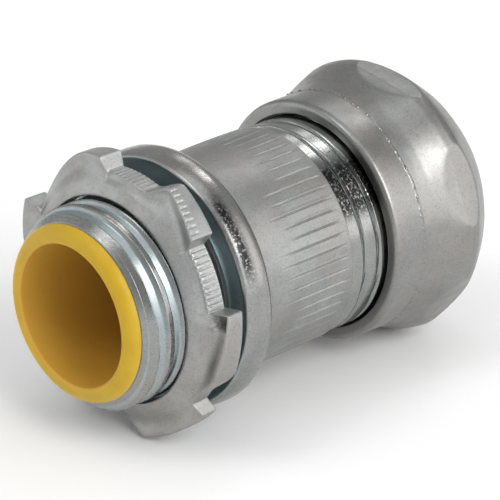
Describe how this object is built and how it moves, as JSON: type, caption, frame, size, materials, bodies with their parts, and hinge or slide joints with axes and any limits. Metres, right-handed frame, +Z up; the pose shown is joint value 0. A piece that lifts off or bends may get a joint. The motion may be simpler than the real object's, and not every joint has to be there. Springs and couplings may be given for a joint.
{
  "type": "conduit compression connector",
  "caption": "Straight compression connector for thin-wall conduit, with insulated throat, threaded nipple, lugged locknut and a gland nut that closes a split gripping ring.",
  "frame": {"origin": "on the fitting's axis, at the middle of its overall length, 12.55 mm behind the flange face that seats on the box wall", "axes": "+X along the axis from the box side to the conduit side, +Z up; the outline is round about +X, so the rotation about +X is fixed by the nut's flats and the locknut's lugs"},
  "size_m": [0.0484, 0.0301, 0.029],
  "materials": {
    "body_steel": "bright zinc plate, lightly mottled",
    "throat_nylon": "moulded nylon, satin",
    "locknut_steel": "bright zinc plate over a stamped blank",
    "nut_steel": "bright zinc plate over pressed steel",
    "ring_steel": "zinc plated spring steel",
    "washer_plastic": "natural acetal",
    "seal_rubber": "matt black elastomer"
  },
  "bodies": {
    "connector": {"connector_body": "body_steel", "throat_insulator": "throat_nylon"},
    "locknut": {"locknut": "locknut_steel"},
    "ring_stack": {"compression_ring": "ring_steel", "slip_washer": "washer_plastic", "sealing_ring": "seal_rubber"},
    "gland_nut": {"gland_nut": "nut_steel"}
  },
  "joints": [
    {"name": "locknut_spin", "type": "hinge", "parent": "connector", "child": "locknut", "pos_m": [0, 0, 0], "axis": [1, 0, 0], "range_deg": [-1170, 360]},
    {"name": "ring_stack_slide", "type": "slide", "parent": "connector", "child": "ring_stack", "axis": [1, 0, 0], "range_m": [-0.00221, 0.00701]},
    {"name": "gland_nut_spin", "type": "hinge", "parent": "ring_stack", "child": "gland_nut", "pos_m": [0, 0, 0], "axis": [1, 0, 0], "range_deg": [-396, 1260]}
  ],
  "couplings": [
    {"joint": "ring_stack_slide", "follows": "gland_nut_spin", "m_per_rad": 0.00031831}
  ]
}
